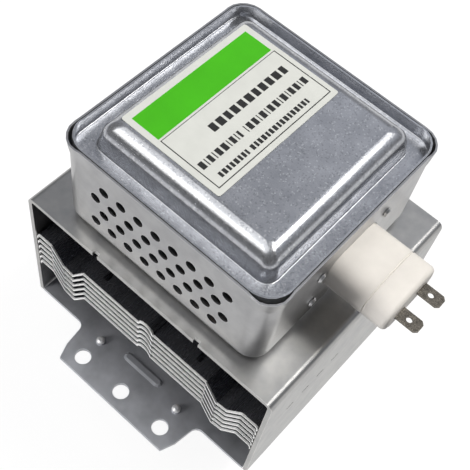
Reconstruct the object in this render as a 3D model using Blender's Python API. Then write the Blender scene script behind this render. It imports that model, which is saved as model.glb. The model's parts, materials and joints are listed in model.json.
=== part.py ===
"""Oven magnetron with its yoke, cooling fins and filter box.

Metres, +Z up towards the filter box. The origin lies on the tube's axis, on the
underside of the mounting plate, and the antenna points down. +X is the side of the
filter capacitor. Air is blown through the yoke along Y.
"""
import math

import bmesh
import bpy
from mathutils import Vector

# Clearances between pieces that seat on each other or pass through each other
SEAT = 0.0003
LABEL_SEAT = 0.0001
BORE_PLAY = 0.0005

# Mounting plate
PLATE_SHEET = 0.0016
PLATE_BORE_PLAY = 0.0008
TAB_REACH = 0.0150
TAB_TIP_HALF = 0.0246
TAB_SHOULDER_HALF = 0.0267
TAB_SHOULDER_REACH = 0.0096
TAB_ROOT_HALF = 0.0276
TAB_ROOT_FILLET = 0.0030
TAB_HOLE_RADIUS = 0.0030
TAB_HOLE_PITCH = 0.0190
TAB_HOLE_INSET = 0.0059
BOSS_RADIUS = 0.0017
BOSS_HEIGHT = 0.0016
BOSS_DOME = 0.0008
BOSS_DOME_TURN = math.radians(66)
BOSS_X = 0.0187
BOSS_OUTSET = 0.0005
RIB_LENGTH = 0.0180
RIB_RADIUS = 0.0018
RIB_HEIGHT = 0.0006
RIB_INSET = 0.0022
GASKET_SEAT_DEPTH = 0.0004

# Yoke, a folded steel channel that is open at both ends of Y
YOKE_WIDTH = 0.1020
YOKE_DEPTH = 0.0886
YOKE_SHEET = 0.0016
YOKE_BEND = 0.0026
YOKE_NOTCH_X = 0.0210
YOKE_NOTCH_WIDTH = 0.0020
YOKE_NOTCH_DEPTH = 0.0012
SLIT_LENGTH = 0.0036
SLIT_HEIGHT = 0.0009
SLIT_PITCH = 0.0077
SLIT_FIRST_Y = -0.0300
SLIT_COUNT = 4
SLIT_Z = 0.0365

# Tube and magnets, stacked between the mounting plate and the yoke
MAGNET_RADIUS = 0.0275
MAGNET_BORE = 0.0108
MAGNET_THICKNESS = 0.0124
MAGNET_CHAMFER = 0.0008
CAN_SHEET = 0.0005
CAN_RADIUS = 0.0095
CAN_FLANGE_RADIUS = 0.0180
POLE_RIM = 0.0016
POLE_TIP_RADIUS = 0.0090
POLE_CONE_RADIUS = 0.0130
POLE_BORE = 0.0046
POLE_REACH = 0.0063
ANODE_RADIUS = 0.01925
ANODE_WALL = 0.0019
ANODE_HEIGHT = 0.0257
VANE_COUNT = 10
VANE_HEIGHT = 0.0094
VANE_SHEET = 0.0018
VANE_TIP_RADIUS = 0.0046
STRAP_RADIUS = 0.0063
STRAP_SECTION = 0.0008

# Cathode
FILAMENT_RADIUS = 0.0019
FILAMENT_WIRE = 0.00025
FILAMENT_TURNS = 6
HAT_RADIUS = 0.0036
HAT_THICKNESS = 0.0012
CATHODE_ROD_RADIUS = 0.0006
CATHODE_ROD_SPACING = 0.0030
STEM_RISE = 0.0042
STEM_CERAMIC_HEIGHT = 0.0080
STEM_ROD_RISE = 0.0045

# Antenna
ANTENNA_NECK_RADIUS = 0.00775
OUTPUT_CAN_DROP = 0.0045
ANTENNA_CERAMIC_HEIGHT = 0.0085
ANTENNA_CERAMIC_WALL = 0.0020
ANTENNA_CAP_HEIGHT = 0.0130
ANTENNA_CAP_SHEET = 0.0005
ANTENNA_CAP_EDGE = 0.0020
EXHAUST_RADIUS = 0.0026
EXHAUST_WALL = 0.0007
EXHAUST_LENGTH = 0.0095
ANTENNA_LEAD_RADIUS = 0.0006
ANTENNA_LEAD_ANODE_RADIUS = 0.0110
ANTENNA_LEAD_POLE_DROP = 0.0022
ANTENNA_LEAD_CAN_RADIUS = 0.0074
GASKET_RADIUS = 0.0165
GASKET_THICKNESS = 0.0040
COLLAR_SHEET = 0.0005
COLLAR_HEIGHT = 0.0038

# Cooling fins
FIN_COUNT = 6
FIN_SHEET = 0.0005
FIN_PITCH = 0.0034
FIN_TOP = 0.0398
FIN_EDGE_INSET = 0.0002
FIN_VALLEY_DEPTH = 0.0082
FIN_VALLEY_RISE = 0.0009
FIN_VALLEY_START = 0.0274
FIN_VALLEY_LOW = 0.0328
FIN_VALLEY_HIGH = 0.0369
FIN_VALLEY_END = 0.0422
FIN_BEAD_X = 0.0011
FIN_BEAD_HALF = 0.0034
FIN_BEAD_RISE = 0.0027
FIN_BEAD_GAP = 0.0010
FIN_BEAD_RUN_OUT = 0.0040
FIN_FLANGE = 0.0024
FIN_FLANGE_BEND = 0.0012
FIN_COLLAR_SHEET = 0.0006
FIN_COLLAR_HEIGHT = 0.0026
FIN_SLOT_X = 0.0206
FIN_SLOT_INSET = 0.0055
FIN_SLOT_WIDTH = 0.0020
FIN_SLOT_LENGTH = 0.0034

# Filter box and lid
BOX_WIDTH = 0.0784
BOX_DEPTH = 0.0788
BOX_HEIGHT = 0.0379
BOX_SHEET = 0.0006
BOX_CORNER = 0.0066
BOX_FOOT_RADIUS = 0.0045
BOX_MOUTH_SWELL = 0.0005
BOX_MOUTH_HEIGHT = 0.0040
BOX_SWELL_RUN = 0.0030
CORNER_BLEND = 0.0020
CORNER_SHARE = 0.55
CORNER_DROP = 0.0004
CORNER_BULGE = 0.0004
VENT_RADIUS = 0.00192
VENT_PITCH = 0.0067
VENT_ROW_PITCH = 0.00597
VENT_ROWS = 4
VENT_COLUMNS = 8
VENT_ROW_SHIFT = 0.0034
VENT_RAISE = 0.0014

LID_SHEET = 0.0006
LID_LIP = 0.0040
LID_LIP_FILLET = 0.0008
LID_RISE = 0.0090
LID_PLATEAU_INSET = 0.0124
LID_SHOULDER = 0.0055
LID_FOOT = 0.0004
LID_SIDE_ANGLE = math.radians(80)
LID_PLATEAU_CORNER = 0.0015
LID_CREASE_CORNER = 0.0042
LID_LIP_LEAN = 0.0020
LID_CORNER_RISE = 0.0004
LID_CORNER_CUT = 0.0013

LABEL_WIDTH = 0.0366
LABEL_DEPTH = 0.0526
LABEL_SHEET = 0.00015
LABEL_CORNER = 0.0008
LABEL_X = -0.0103
LABEL_Y = 0.0004

# Filter capacitor, its terminals and the choke coils
CAPACITOR_WIDTH = 0.0248
CAPACITOR_HEIGHT = 0.0136
CAPACITOR_RAISE = 0.00345
CAPACITOR_REACH = 0.0219
CAPACITOR_COLLAR = 0.0136
CAPACITOR_TAIL = 0.0075
CAPACITOR_EDGE = 0.0016
CAPACITOR_SEAM = 0.0003
BLADE_SPACING = 0.0109
BLADE_WIDTH = 0.0046
BLADE_SHEET = 0.0008
BLADE_REACH = 0.0074
BLADE_TAIL = 0.0035
BLADE_CHAMFER = 0.0010
BLADE_HOLE_RADIUS = 0.0010
BLADE_HOLE_INSET = 0.0040
BRACKET_SHEET = 0.0008
BRACKET_WIDTH = 0.0400
BRACKET_HEIGHT = 0.0210
BRACKET_CORNER = 0.0020
RIVET_SPACING_Y = 0.0310
RIVET_SPACING_Z = 0.0145
RIVET_DROP = 0.0020
RIVET_SHANK_RADIUS = 0.0011
RIVET_HEAD_RADIUS = 0.0018
RIVET_HEAD_HEIGHT = 0.0007
RIVET_HEAD_TAPER = 0.7
COIL_RADIUS = 0.0034
COIL_WIRE = 0.0006
COIL_TURNS = 8
COIL_PITCH = 0.0022
COIL_SPACING = 0.0180
COIL_START_X = 0.0030
COIL_LEAD_X = -0.0010
COIL_LEAD_SIDE = 0.0030
CORE_RADIUS = 0.0023
CORE_OVERHANG = 0.0015

# Smoothness of round forms
ROUND_STEPS = 28
INNER_STEPS = 20
SMALL_STEPS = 12
ROD_STEPS = 8
HOLE_STEPS = 16
VENT_STEPS = 10
ARC_STEPS = 4
CORNER_STEPS = 5
COIL_STEPS = 6
LEAD_STEPS = 5

# Heights worked out from the stack between the plate and the yoke
LOWER_MAGNET_Z = PLATE_SHEET + SEAT
LOWER_CAN_Z = LOWER_MAGNET_Z + MAGNET_THICKNESS + SEAT
LOWER_POLE_Z = LOWER_CAN_Z + CAN_SHEET + SEAT
ANODE_Z = LOWER_POLE_Z + POLE_RIM + SEAT
UPPER_POLE_Z = ANODE_Z + ANODE_HEIGHT + SEAT
UPPER_CAN_Z = UPPER_POLE_Z + POLE_RIM + SEAT
UPPER_MAGNET_Z = UPPER_CAN_Z + CAN_SHEET + SEAT
YOKE_CEILING = UPPER_MAGNET_Z + MAGNET_THICKNESS + SEAT
YOKE_TOP = YOKE_CEILING + YOKE_SHEET
BOX_BASE = YOKE_TOP + SEAT
BOX_RIM = BOX_BASE + BOX_HEIGHT
LEDGE_Z = BOX_RIM - LID_LIP
PLATEAU_Z = LEDGE_Z + LID_RISE
VANE_Z = ANODE_Z + (ANODE_HEIGHT - VANE_HEIGHT) / 2
BOX_MIDDLE_Z = (BOX_BASE + LEDGE_Z) / 2
CAPACITOR_Z = BOX_MIDDLE_Z + CAPACITOR_RAISE
RIVETS_Z = CAPACITOR_Z - RIVET_DROP

YOKE_INNER_HALF = YOKE_WIDTH / 2 - YOKE_SHEET
PLATE_HALF_X = YOKE_INNER_HALF - SEAT
PLATE_HALF_Y = YOKE_DEPTH / 2
BOX_FACE_X = BOX_WIDTH / 2
LID_PLATEAU_HALF = BOX_FACE_X - LID_PLATEAU_INSET
CAN_BORE_RADIUS = CAN_RADIUS + BORE_PLAY


def material(name, color, roughness, metallic):
    """Principled material with one colour."""
    made = bpy.data.materials.new(name)
    made.use_nodes = True
    made.diffuse_color = (*color, 1.0)
    shader = made.node_tree.nodes["Principled BSDF"]
    shader.inputs["Base Color"].default_value = (*color, 1.0)
    shader.inputs["Roughness"].default_value = roughness
    shader.inputs["Metallic"].default_value = metallic
    return made


def place(name, data, finish):
    """Object in the scene with its own copy of a finish."""
    thing = bpy.data.objects.new(name, data)
    bpy.context.collection.objects.link(thing)
    own = finish.copy()
    own.name = name + "_finish"
    data.materials.append(own)
    return thing


def solid(name, shape, finish, smooth_angle=35):
    """Object from a bmesh, faces out, round faces shaded smooth."""
    bmesh.ops.recalc_face_normals(shape, faces=shape.faces[:])
    mesh = bpy.data.meshes.new(name)
    shape.to_mesh(mesh)
    shape.free()
    mesh.shade_smooth()
    mesh.set_sharp_from_angle(angle=math.radians(smooth_angle))
    return place(name, mesh, finish)


def cutter(name, shape, finish):
    """Wire object that only shapes another one."""
    tool = solid(name, shape, finish)
    tool.data.shade_flat()
    tool.hide_render = True
    tool.display_type = 'WIRE'
    return tool


def carve(target, tool, operation='DIFFERENCE'):
    """Boolean of target and tool, kept as a modifier."""
    step = target.modifiers.new(tool.name, 'BOOLEAN')
    step.operation = operation
    step.solver = 'EXACT'
    step.object = tool


def loft(shape, rings, ends='CAPPED'):
    """Skin through rings of equal length; LOOPED joins the last ring to the first."""
    loops = [[shape.verts.new(point) for point in ring] for ring in rings]
    following = loops[1:]
    if ends == 'LOOPED':
        following = following + loops[:1]
    for near, far in zip(loops, following):
        count = len(near)
        for index in range(count):
            after = (index + 1) % count
            shape.faces.new((near[index], near[after], far[after], far[index]))
    if ends == 'CAPPED':
        shape.faces.new(list(reversed(loops[0])))
        shape.faces.new(loops[-1])
    return shape


def arc(centre, radius, start, end, steps=ARC_STEPS):
    """Points of an arc in a plane, angles in radians."""
    points = []
    for index in range(steps + 1):
        angle = start + (end - start) * index / steps
        points.append((centre[0] + radius * math.cos(angle), centre[1] + radius * math.sin(angle)))
    return points


def circle(centre, radius, steps=SMALL_STEPS):
    """Points of a full circle in a plane."""
    return arc(centre, radius, 0, 2 * math.pi * (steps - 1) / steps, steps - 1)


def turned(shape, profile, steps=ROUND_STEPS, ends='LOOPED', centre=(0.0, 0.0)):
    """Profile of (radius, z) points turned about an upright axis; LOOPED leaves a hole in the middle."""
    rings = []
    for radius, height in profile:
        rings.append([(x, y, height) for x, y in circle(centre, radius, steps)])
    return loft(shape, rings, ends)


def column(shape, centre, radius, low, high, steps=SMALL_STEPS):
    """Upright cylinder."""
    return turned(shape, ((radius, low), (radius, high)), steps, 'CAPPED', centre)


def block(shape, low, high):
    """Box between two corners."""
    corners = ((low[0], low[1]), (high[0], low[1]), (high[0], high[1]), (low[0], high[1]))
    return loft(shape, [[(x, y, z) for x, y in corners] for z in (low[2], high[2])])


def along_y(shape, outline, low, high):
    """Outline of (x, z) points extruded along Y."""
    return loft(shape, [[(x, y, z) for x, z in outline] for y in (low, high)])


def along_x(shape, outline, low, high):
    """Outline of (y, z) points extruded along X."""
    return loft(shape, [[(x, y, z) for y, z in outline] for x in (low, high)])


def upright(shape, outline, low, high):
    """Outline of (x, y) points extruded along Z."""
    return loft(shape, [[(x, y, z) for x, y in outline] for z in (low, high)])


def obround(width, height, centre, steps=6):
    """Outline of a slot with round ends, its long side along the first axis."""
    radius = height / 2
    reach = width / 2 - radius
    right = arc((centre[0] + reach, centre[1]), radius, -math.pi / 2, math.pi / 2, steps)
    left = arc((centre[0] - reach, centre[1]), radius, math.pi / 2, 3 * math.pi / 2, steps)
    return right + left


def rounded(half_x, half_y, radius, centre=(0.0, 0.0), steps=4):
    """Outline of a rectangle with round corners."""
    outline = []
    for quarter, (side_x, side_y) in enumerate(((1, 1), (-1, 1), (-1, -1), (1, -1))):
        corner = (centre[0] + side_x * (half_x - radius), centre[1] + side_y * (half_y - radius))
        start = quarter * math.pi / 2
        outline += arc(corner, radius, start, start + math.pi / 2, steps)
    return outline


def thickened(path, sheet):
    """Outline of a sheet that lies under a path of (x, z) points, bends mitred."""
    under = []
    for index, point in enumerate(path):
        here = Vector(point)
        before = Vector(path[max(index - 1, 0)])
        after = Vector(path[min(index + 1, len(path) - 1)])
        into = (here - before).normalized()
        out = (after - here).normalized()
        if index == 0:
            into = out
        if index == len(path) - 1:
            out = into
        normal_in = Vector((into.y, -into.x))
        normal_out = Vector((out.y, -out.x))
        mitre = (normal_in + normal_out).normalized()
        under.append(here + mitre * (sheet / mitre.dot(normal_in)))
    return [tuple(point) for point in path] + [tuple(point) for point in reversed(under)]


def flipped(path):
    """Path mirrored in X, run backwards."""
    return [(-x, z) for x, z in reversed(path)]


def mounting_plate(steel):
    """Flat plate between the yoke's walls, with a three-hole tab at each open side."""
    reach = PLATE_HALF_Y + TAB_REACH
    fillet = (TAB_ROOT_HALF + TAB_ROOT_FILLET, PLATE_HALF_Y + TAB_ROOT_FILLET)
    side = [(PLATE_HALF_X, PLATE_HALF_Y)]
    side += arc(fillet, TAB_ROOT_FILLET, -math.pi / 2, -math.pi)
    side += [(TAB_SHOULDER_HALF, PLATE_HALF_Y + TAB_SHOULDER_REACH), (TAB_TIP_HALF, reach)]
    back = side + [(-x, y) for x, y in reversed(side)]
    outline = back + [(-x, -y) for x, y in back]
    plate = solid("mounting_plate", upright(bmesh.new(), outline, 0.0, PLATE_SHEET), steel)

    pressed = bmesh.new()
    grooves = bmesh.new()
    top_of_boss = PLATE_SHEET + BOSS_HEIGHT
    for side_y in (-1, 1):
        for side_x in (-1, 1):
            centre = (side_x * BOSS_X, side_y * (PLATE_HALF_Y + BOSS_OUTSET))
            levels = [(BOSS_RADIUS, PLATE_SHEET / 2)]
            for out, up in arc((0.0, 0.0), 1.0, 0.0, BOSS_DOME_TURN, 2):
                levels.append((BOSS_RADIUS * out, top_of_boss - BOSS_DOME * (1 - up)))
            turned(pressed, levels, SMALL_STEPS, 'CAPPED', centre)
        middle = (0.0, side_y * (PLATE_HALF_Y - RIB_INSET))
        wide = obround(RIB_LENGTH, 2 * RIB_RADIUS, middle, 4)
        narrow = obround(RIB_LENGTH - RIB_RADIUS, RIB_RADIUS, middle, 4)
        rib = [(wide, PLATE_SHEET / 2), (wide, PLATE_SHEET), (narrow, PLATE_SHEET + RIB_HEIGHT)]
        loft(pressed, [[(x, y, height) for x, y in ring] for ring, height in rib])
        groove = [(wide, -PLATE_SHEET), (wide, 0.0), (narrow, RIB_HEIGHT)]
        loft(grooves, [[(x, y, height) for x, y in ring] for ring, height in groove])
        for step in (-1, 0, 1):
            centre = (step * TAB_HOLE_PITCH, side_y * (reach - TAB_HOLE_INSET))
            column(grooves, centre, TAB_HOLE_RADIUS, -PLATE_SHEET, 2 * PLATE_SHEET, HOLE_STEPS)
    column(grooves, (0.0, 0.0), CAN_RADIUS + PLATE_BORE_PLAY, -PLATE_SHEET, 2 * PLATE_SHEET, INNER_STEPS)
    carve(plate, cutter("plate_pressings", pressed, steel), 'UNION')
    carve(plate, cutter("plate_holes", grooves, steel))
    seat = column(bmesh.new(), (0.0, 0.0), GASKET_RADIUS + COLLAR_SHEET, -PLATE_SHEET, GASKET_SEAT_DEPTH,
                  INNER_STEPS)
    carve(plate, cutter("plate_gasket_seat", seat, steel))


def yoke(steel):
    """Folded channel over the tube, with a bore for the stem."""
    half = YOKE_WIDTH / 2
    foot = SEAT
    inner_bend = YOKE_BEND - YOKE_SHEET
    outer = [(half, foot)]
    outer += arc((half - YOKE_BEND, YOKE_TOP - YOKE_BEND), YOKE_BEND, 0, math.pi / 2)
    inner = [(YOKE_INNER_HALF, foot)]
    inner += arc((half - YOKE_BEND, YOKE_TOP - YOKE_BEND), inner_bend, 0, math.pi / 2)
    outline = outer + flipped(outer) + list(reversed(inner + flipped(inner)))
    channel = solid("yoke", along_y(bmesh.new(), outline, -YOKE_DEPTH / 2, YOKE_DEPTH / 2), steel)

    holes = bmesh.new()
    column(holes, (0.0, 0.0), CAN_BORE_RADIUS, YOKE_CEILING - YOKE_SHEET, YOKE_TOP + YOKE_SHEET, INNER_STEPS)
    for side_x in (-1, 1):
        for side_y in (-1, 1):
            centre_x = side_x * YOKE_NOTCH_X
            ends = sorted((side_y * (YOKE_DEPTH / 2 - YOKE_NOTCH_DEPTH), side_y * YOKE_DEPTH))
            block(holes, (centre_x - YOKE_NOTCH_WIDTH / 2, ends[0], YOKE_CEILING - YOKE_SHEET),
                  (centre_x + YOKE_NOTCH_WIDTH / 2, ends[1], YOKE_TOP + YOKE_SHEET))
        walls = sorted((side_x * (YOKE_INNER_HALF - YOKE_SHEET), side_x * (half + YOKE_SHEET)))
        for index in range(SLIT_COUNT):
            centre_y = SLIT_FIRST_Y + index * SLIT_PITCH
            block(holes, (walls[0], centre_y - SLIT_LENGTH / 2, SLIT_Z - SLIT_HEIGHT / 2),
                  (walls[1], centre_y + SLIT_LENGTH / 2, SLIT_Z + SLIT_HEIGHT / 2))
    carve(channel, cutter("yoke_holes", holes, steel))


def fin_path():
    """Upper surface of a fin seen along Y, relative to its flat."""
    low = -FIN_VALLEY_DEPTH
    edge = YOKE_INNER_HALF - SEAT
    half = [(FIN_VALLEY_START, 0.0), (FIN_VALLEY_LOW, low), (FIN_VALLEY_HIGH, low + FIN_VALLEY_RISE)]
    half += [(FIN_VALLEY_END, 0.0)]
    half += arc((edge - FIN_FLANGE_BEND, -FIN_FLANGE_BEND), FIN_FLANGE_BEND, math.pi / 2, 0, 2)
    half += [(edge, -FIN_FLANGE)]
    return flipped(half) + half


def fin_arch(shape, half, base, stations):
    """Solid arch of the bead along Y, from its (y, height) stations."""
    rings = []
    for y, height in stations:
        ring = []
        for out, up in arc((0.0, 0.0), 1.0, 0.0, math.pi, 6):
            ring.append((FIN_BEAD_X + half * out, y, base + height * up))
        rings.append(ring)
    loft(shape, rings)


def cooling_fins(aluminium):
    """Pressed fins with a valley at each side, a bead at each open end and a collar round the anode."""
    half_y = YOKE_DEPTH / 2 - FIN_EDGE_INSET
    bore = ANODE_RADIUS + SEAT
    bead_end = bore + FIN_COLLAR_SHEET + FIN_BEAD_GAP
    bead_full = bead_end + FIN_BEAD_RUN_OUT
    full = FIN_BEAD_RISE + FIN_SHEET / 2
    faded = FIN_SHEET / 4
    for index in range(FIN_COUNT):
        level = FIN_TOP - index * FIN_PITCH
        outline = [(x, z + level) for x, z in thickened(fin_path(), FIN_SHEET)]
        name = "cooling_fin_%d" % (index + 1)
        fin = solid(name, along_y(bmesh.new(), outline, -half_y, half_y), aluminium)
        raised = column(bmesh.new(), (0.0, 0.0), bore + FIN_COLLAR_SHEET, level - FIN_SHEET / 2,
                        level - FIN_SHEET + FIN_COLLAR_HEIGHT, INNER_STEPS)
        holes = column(bmesh.new(), (0.0, 0.0), bore, level - FIN_PITCH, level + FIN_PITCH, INNER_STEPS)
        for side_y in (-1, 1):
            outer = [(side_y * half_y, full), (side_y * bead_full, full), (side_y * bead_end, faded)]
            fin_arch(raised, FIN_BEAD_HALF, level - FIN_SHEET / 2, outer)
            inner = [(side_y * (half_y + FIN_SHEET), full)] + outer[1:]
            fin_arch(holes, FIN_BEAD_HALF - FIN_SHEET, level - 1.5 * FIN_SHEET, inner)
            centre_y = side_y * (half_y - FIN_SLOT_INSET)
            for side_x in (-1, 1):
                centre_x = side_x * FIN_SLOT_X
                slot_low = (centre_x - FIN_SLOT_WIDTH / 2, centre_y - FIN_SLOT_LENGTH / 2, level - FIN_PITCH)
                slot_high = (centre_x + FIN_SLOT_WIDTH / 2, centre_y + FIN_SLOT_LENGTH / 2, level + FIN_PITCH)
                block(holes, slot_low, slot_high)
        carve(fin, cutter(name + "_raised", raised, aluminium), 'UNION')
        carve(fin, cutter(name + "_holes", holes, aluminium))


def magnets(ferrite):
    """Two ferrite rings."""
    for name, base in (("lower_magnet", LOWER_MAGNET_Z), ("upper_magnet", UPPER_MAGNET_Z)):
        top = base + MAGNET_THICKNESS
        edge = MAGNET_RADIUS - MAGNET_CHAMFER
        profile = [(MAGNET_BORE, base), (edge, base), (MAGNET_RADIUS, base + MAGNET_CHAMFER),
                   (MAGNET_RADIUS, top - MAGNET_CHAMFER), (edge, top), (MAGNET_BORE, top)]
        solid(name, turned(bmesh.new(), profile), ferrite)


def anode(copper):
    """Anode cylinder with its vanes, and a strap on each side of them."""
    inner = ANODE_RADIUS - ANODE_WALL
    top = ANODE_Z + ANODE_HEIGHT
    profile = [(inner, ANODE_Z), (ANODE_RADIUS, ANODE_Z), (ANODE_RADIUS, top), (inner, top)]
    cylinder = solid("anode_cylinder", turned(bmesh.new(), profile, INNER_STEPS), copper)
    vanes = bmesh.new()
    for index in range(VANE_COUNT):
        angle = 2 * math.pi * (index + 0.5) / VANE_COUNT
        out = Vector((math.cos(angle), math.sin(angle)))
        side = Vector((-out.y, out.x)) * (VANE_SHEET / 2)
        near = out * VANE_TIP_RADIUS
        far = out * (ANODE_RADIUS - ANODE_WALL / 2)
        outline = [near - side, far - side, far + side, near + side]
        upright(vanes, outline, VANE_Z, VANE_Z + VANE_HEIGHT)
    carve(cylinder, cutter("anode_vanes", vanes, copper), 'UNION')

    outer = STRAP_RADIUS + STRAP_SECTION
    upper = VANE_Z + VANE_HEIGHT + SEAT
    lower = VANE_Z - SEAT - STRAP_SECTION
    for name, base in (("upper_strap", upper), ("lower_strap", lower)):
        profile = [(STRAP_RADIUS, base), (outer, base), (outer, base + STRAP_SECTION),
                   (STRAP_RADIUS, base + STRAP_SECTION)]
        solid(name, turned(bmesh.new(), profile, SMALL_STEPS), copper)


def pole_pieces(steel):
    """Dished pole pieces at the anode's ends, tips towards the vanes."""
    for name, base, facing in (("lower_pole_piece", LOWER_POLE_Z, 1), ("upper_pole_piece", UPPER_POLE_Z, -1)):
        near = base if facing > 0 else base + POLE_RIM
        far = near + facing * POLE_RIM
        profile = [(POLE_BORE, near + facing * POLE_REACH), (POLE_TIP_RADIUS, near + facing * POLE_REACH),
                   (POLE_CONE_RADIUS, near), (ANODE_RADIUS, near), (ANODE_RADIUS, far),
                   (POLE_CONE_RADIUS + POLE_RIM / 2, far),
                   (POLE_TIP_RADIUS + POLE_RIM / 2, far + facing * POLE_REACH),
                   (POLE_BORE, far + facing * POLE_REACH)]
        piece = solid(name, turned(bmesh.new(), profile, INNER_STEPS), steel)
        if facing > 0:
            window = column(bmesh.new(), (ANTENNA_LEAD_ANODE_RADIUS, 0.0), ANTENNA_LEAD_RADIUS + 2 * SEAT,
                            LOWER_CAN_Z, VANE_Z)
            carve(piece, cutter("pole_lead_hole", window, steel))


def seal_cans(steel):
    """Drawn cans that close the tube: the stem's above, the antenna's below."""
    inner = CAN_RADIUS - CAN_SHEET
    top = YOKE_TOP + STEM_RISE
    near = UPPER_CAN_Z
    profile = [(inner, near), (CAN_FLANGE_RADIUS, near), (CAN_FLANGE_RADIUS, near + CAN_SHEET),
               (CAN_RADIUS, near + CAN_SHEET), (CAN_RADIUS, top), (inner, top)]
    solid("input_seal_can", turned(bmesh.new(), profile, INNER_STEPS), steel)

    far = LOWER_CAN_Z + CAN_SHEET
    neck = -OUTPUT_CAN_DROP
    slope = CAN_RADIUS - ANTENNA_NECK_RADIUS
    profile = [(inner, far), (CAN_FLANGE_RADIUS, far), (CAN_FLANGE_RADIUS, far - CAN_SHEET),
               (CAN_RADIUS, far - CAN_SHEET), (CAN_RADIUS, neck + 2 * slope),
               (ANTENNA_NECK_RADIUS, neck + slope / 2), (ANTENNA_NECK_RADIUS, neck),
               (ANTENNA_NECK_RADIUS - CAN_SHEET, neck), (ANTENNA_NECK_RADIUS - CAN_SHEET, neck + slope / 2),
               (inner, neck + 2 * slope)]
    solid("output_seal_can", turned(bmesh.new(), profile, INNER_STEPS), steel)


def antenna(steel, copper, ceramic):
    """Ceramic window, exhaust tube, cap and the lead that feeds them."""
    window_top = -OUTPUT_CAN_DROP - SEAT
    window_low = window_top - ANTENNA_CERAMIC_HEIGHT
    inner = ANTENNA_NECK_RADIUS - ANTENNA_CERAMIC_WALL
    profile = [(inner, window_low), (ANTENNA_NECK_RADIUS, window_low), (ANTENNA_NECK_RADIUS, window_top),
               (inner, window_top)]
    solid("antenna_ceramic", turned(bmesh.new(), profile, INNER_STEPS), ceramic)

    flange_top = window_low - SEAT
    flange_low = flange_top - EXHAUST_WALL
    flange_radius = ANTENNA_NECK_RADIUS - ANTENNA_CAP_SHEET - SEAT
    tube_low = flange_top - EXHAUST_LENGTH
    bore = EXHAUST_RADIUS - EXHAUST_WALL
    levels = [(bore / 2, tube_low + 2 * EXHAUST_WALL), (bore, tube_low + 4 * EXHAUST_WALL),
              (bore, flange_top), (flange_radius, flange_top),
              (flange_radius, flange_low), (EXHAUST_RADIUS, flange_low),
              (EXHAUST_RADIUS, tube_low + 3 * EXHAUST_WALL), (EXHAUST_RADIUS / 2, tube_low)]
    solid("exhaust_tube", turned(bmesh.new(), levels, SMALL_STEPS, 'CAPPED'), copper)

    cap_low = flange_top - ANTENNA_CAP_HEIGHT
    edge = ANTENNA_CAP_EDGE
    skin = ANTENNA_CAP_SHEET
    corner = (ANTENNA_NECK_RADIUS - edge, cap_low + edge)
    levels = arc(corner, edge - skin, -math.pi / 2, 0, 2)
    levels += [(ANTENNA_NECK_RADIUS - skin, flange_top), (ANTENNA_NECK_RADIUS, flange_top)]
    levels += arc(corner, edge, 0, -math.pi / 2)
    solid("antenna_cap", turned(bmesh.new(), levels, INNER_STEPS, 'CAPPED'), steel)

    pole_hollow = LOWER_POLE_Z + POLE_REACH
    can_top = LOWER_CAN_Z + CAN_SHEET
    route = [(ANTENNA_LEAD_ANODE_RADIUS, VANE_Z - SEAT),
             (ANTENNA_LEAD_ANODE_RADIUS, pole_hollow - ANTENNA_LEAD_POLE_DROP)]
    for step in range(LEAD_STEPS + 1):
        share = step / LEAD_STEPS
        swing = (1 + math.cos(math.pi * share)) / 2
        route.append((ANTENNA_LEAD_CAN_RADIUS * swing, can_top + (PLATE_SHEET - can_top) * share))
    route.append((0.0, tube_low + 5 * EXHAUST_WALL))
    wire("antenna_lead", [(x, 0.0, z) for x, z in route], ANTENNA_LEAD_RADIUS, copper)


def wire(name, points, radius, finish, resolution=1):
    """Round wire through points, ends closed."""
    curve = bpy.data.curves.new(name, 'CURVE')
    curve.dimensions = '3D'
    line = curve.splines.new('POLY')
    line.points.add(len(points) - 1)
    for target, point in zip(line.points, points):
        target.co = (*point, 1.0)
    curve.bevel_depth = radius
    curve.bevel_resolution = resolution
    curve.use_fill_caps = True
    return place(name, curve, finish)


def gasket(steel, mesh_wire):
    """Woven ring that seals the waveguide, and the collar that holds it."""
    seat = GASKET_SEAT_DEPTH - SEAT
    flange_low = seat - COLLAR_SHEET
    inner = CAN_RADIUS + SEAT
    outer = inner + COLLAR_SHEET
    profile = [(inner, seat), (GASKET_RADIUS, seat), (GASKET_RADIUS, flange_low), (outer, flange_low),
               (outer, seat - COLLAR_HEIGHT), (inner, seat - COLLAR_HEIGHT)]
    solid("gasket_collar", turned(bmesh.new(), profile, INNER_STEPS), steel)

    top = flange_low - SEAT
    low = top - GASKET_THICKNESS
    round_off = GASKET_THICKNESS / 4
    bore = outer + SEAT
    profile = [(bore, top), (GASKET_RADIUS - round_off, top), (GASKET_RADIUS, top - round_off),
               (GASKET_RADIUS, low + round_off), (GASKET_RADIUS - round_off, low), (bore + round_off, low),
               (bore, low + round_off)]
    solid("rf_gasket", turned(bmesh.new(), profile, INNER_STEPS), mesh_wire)


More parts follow.
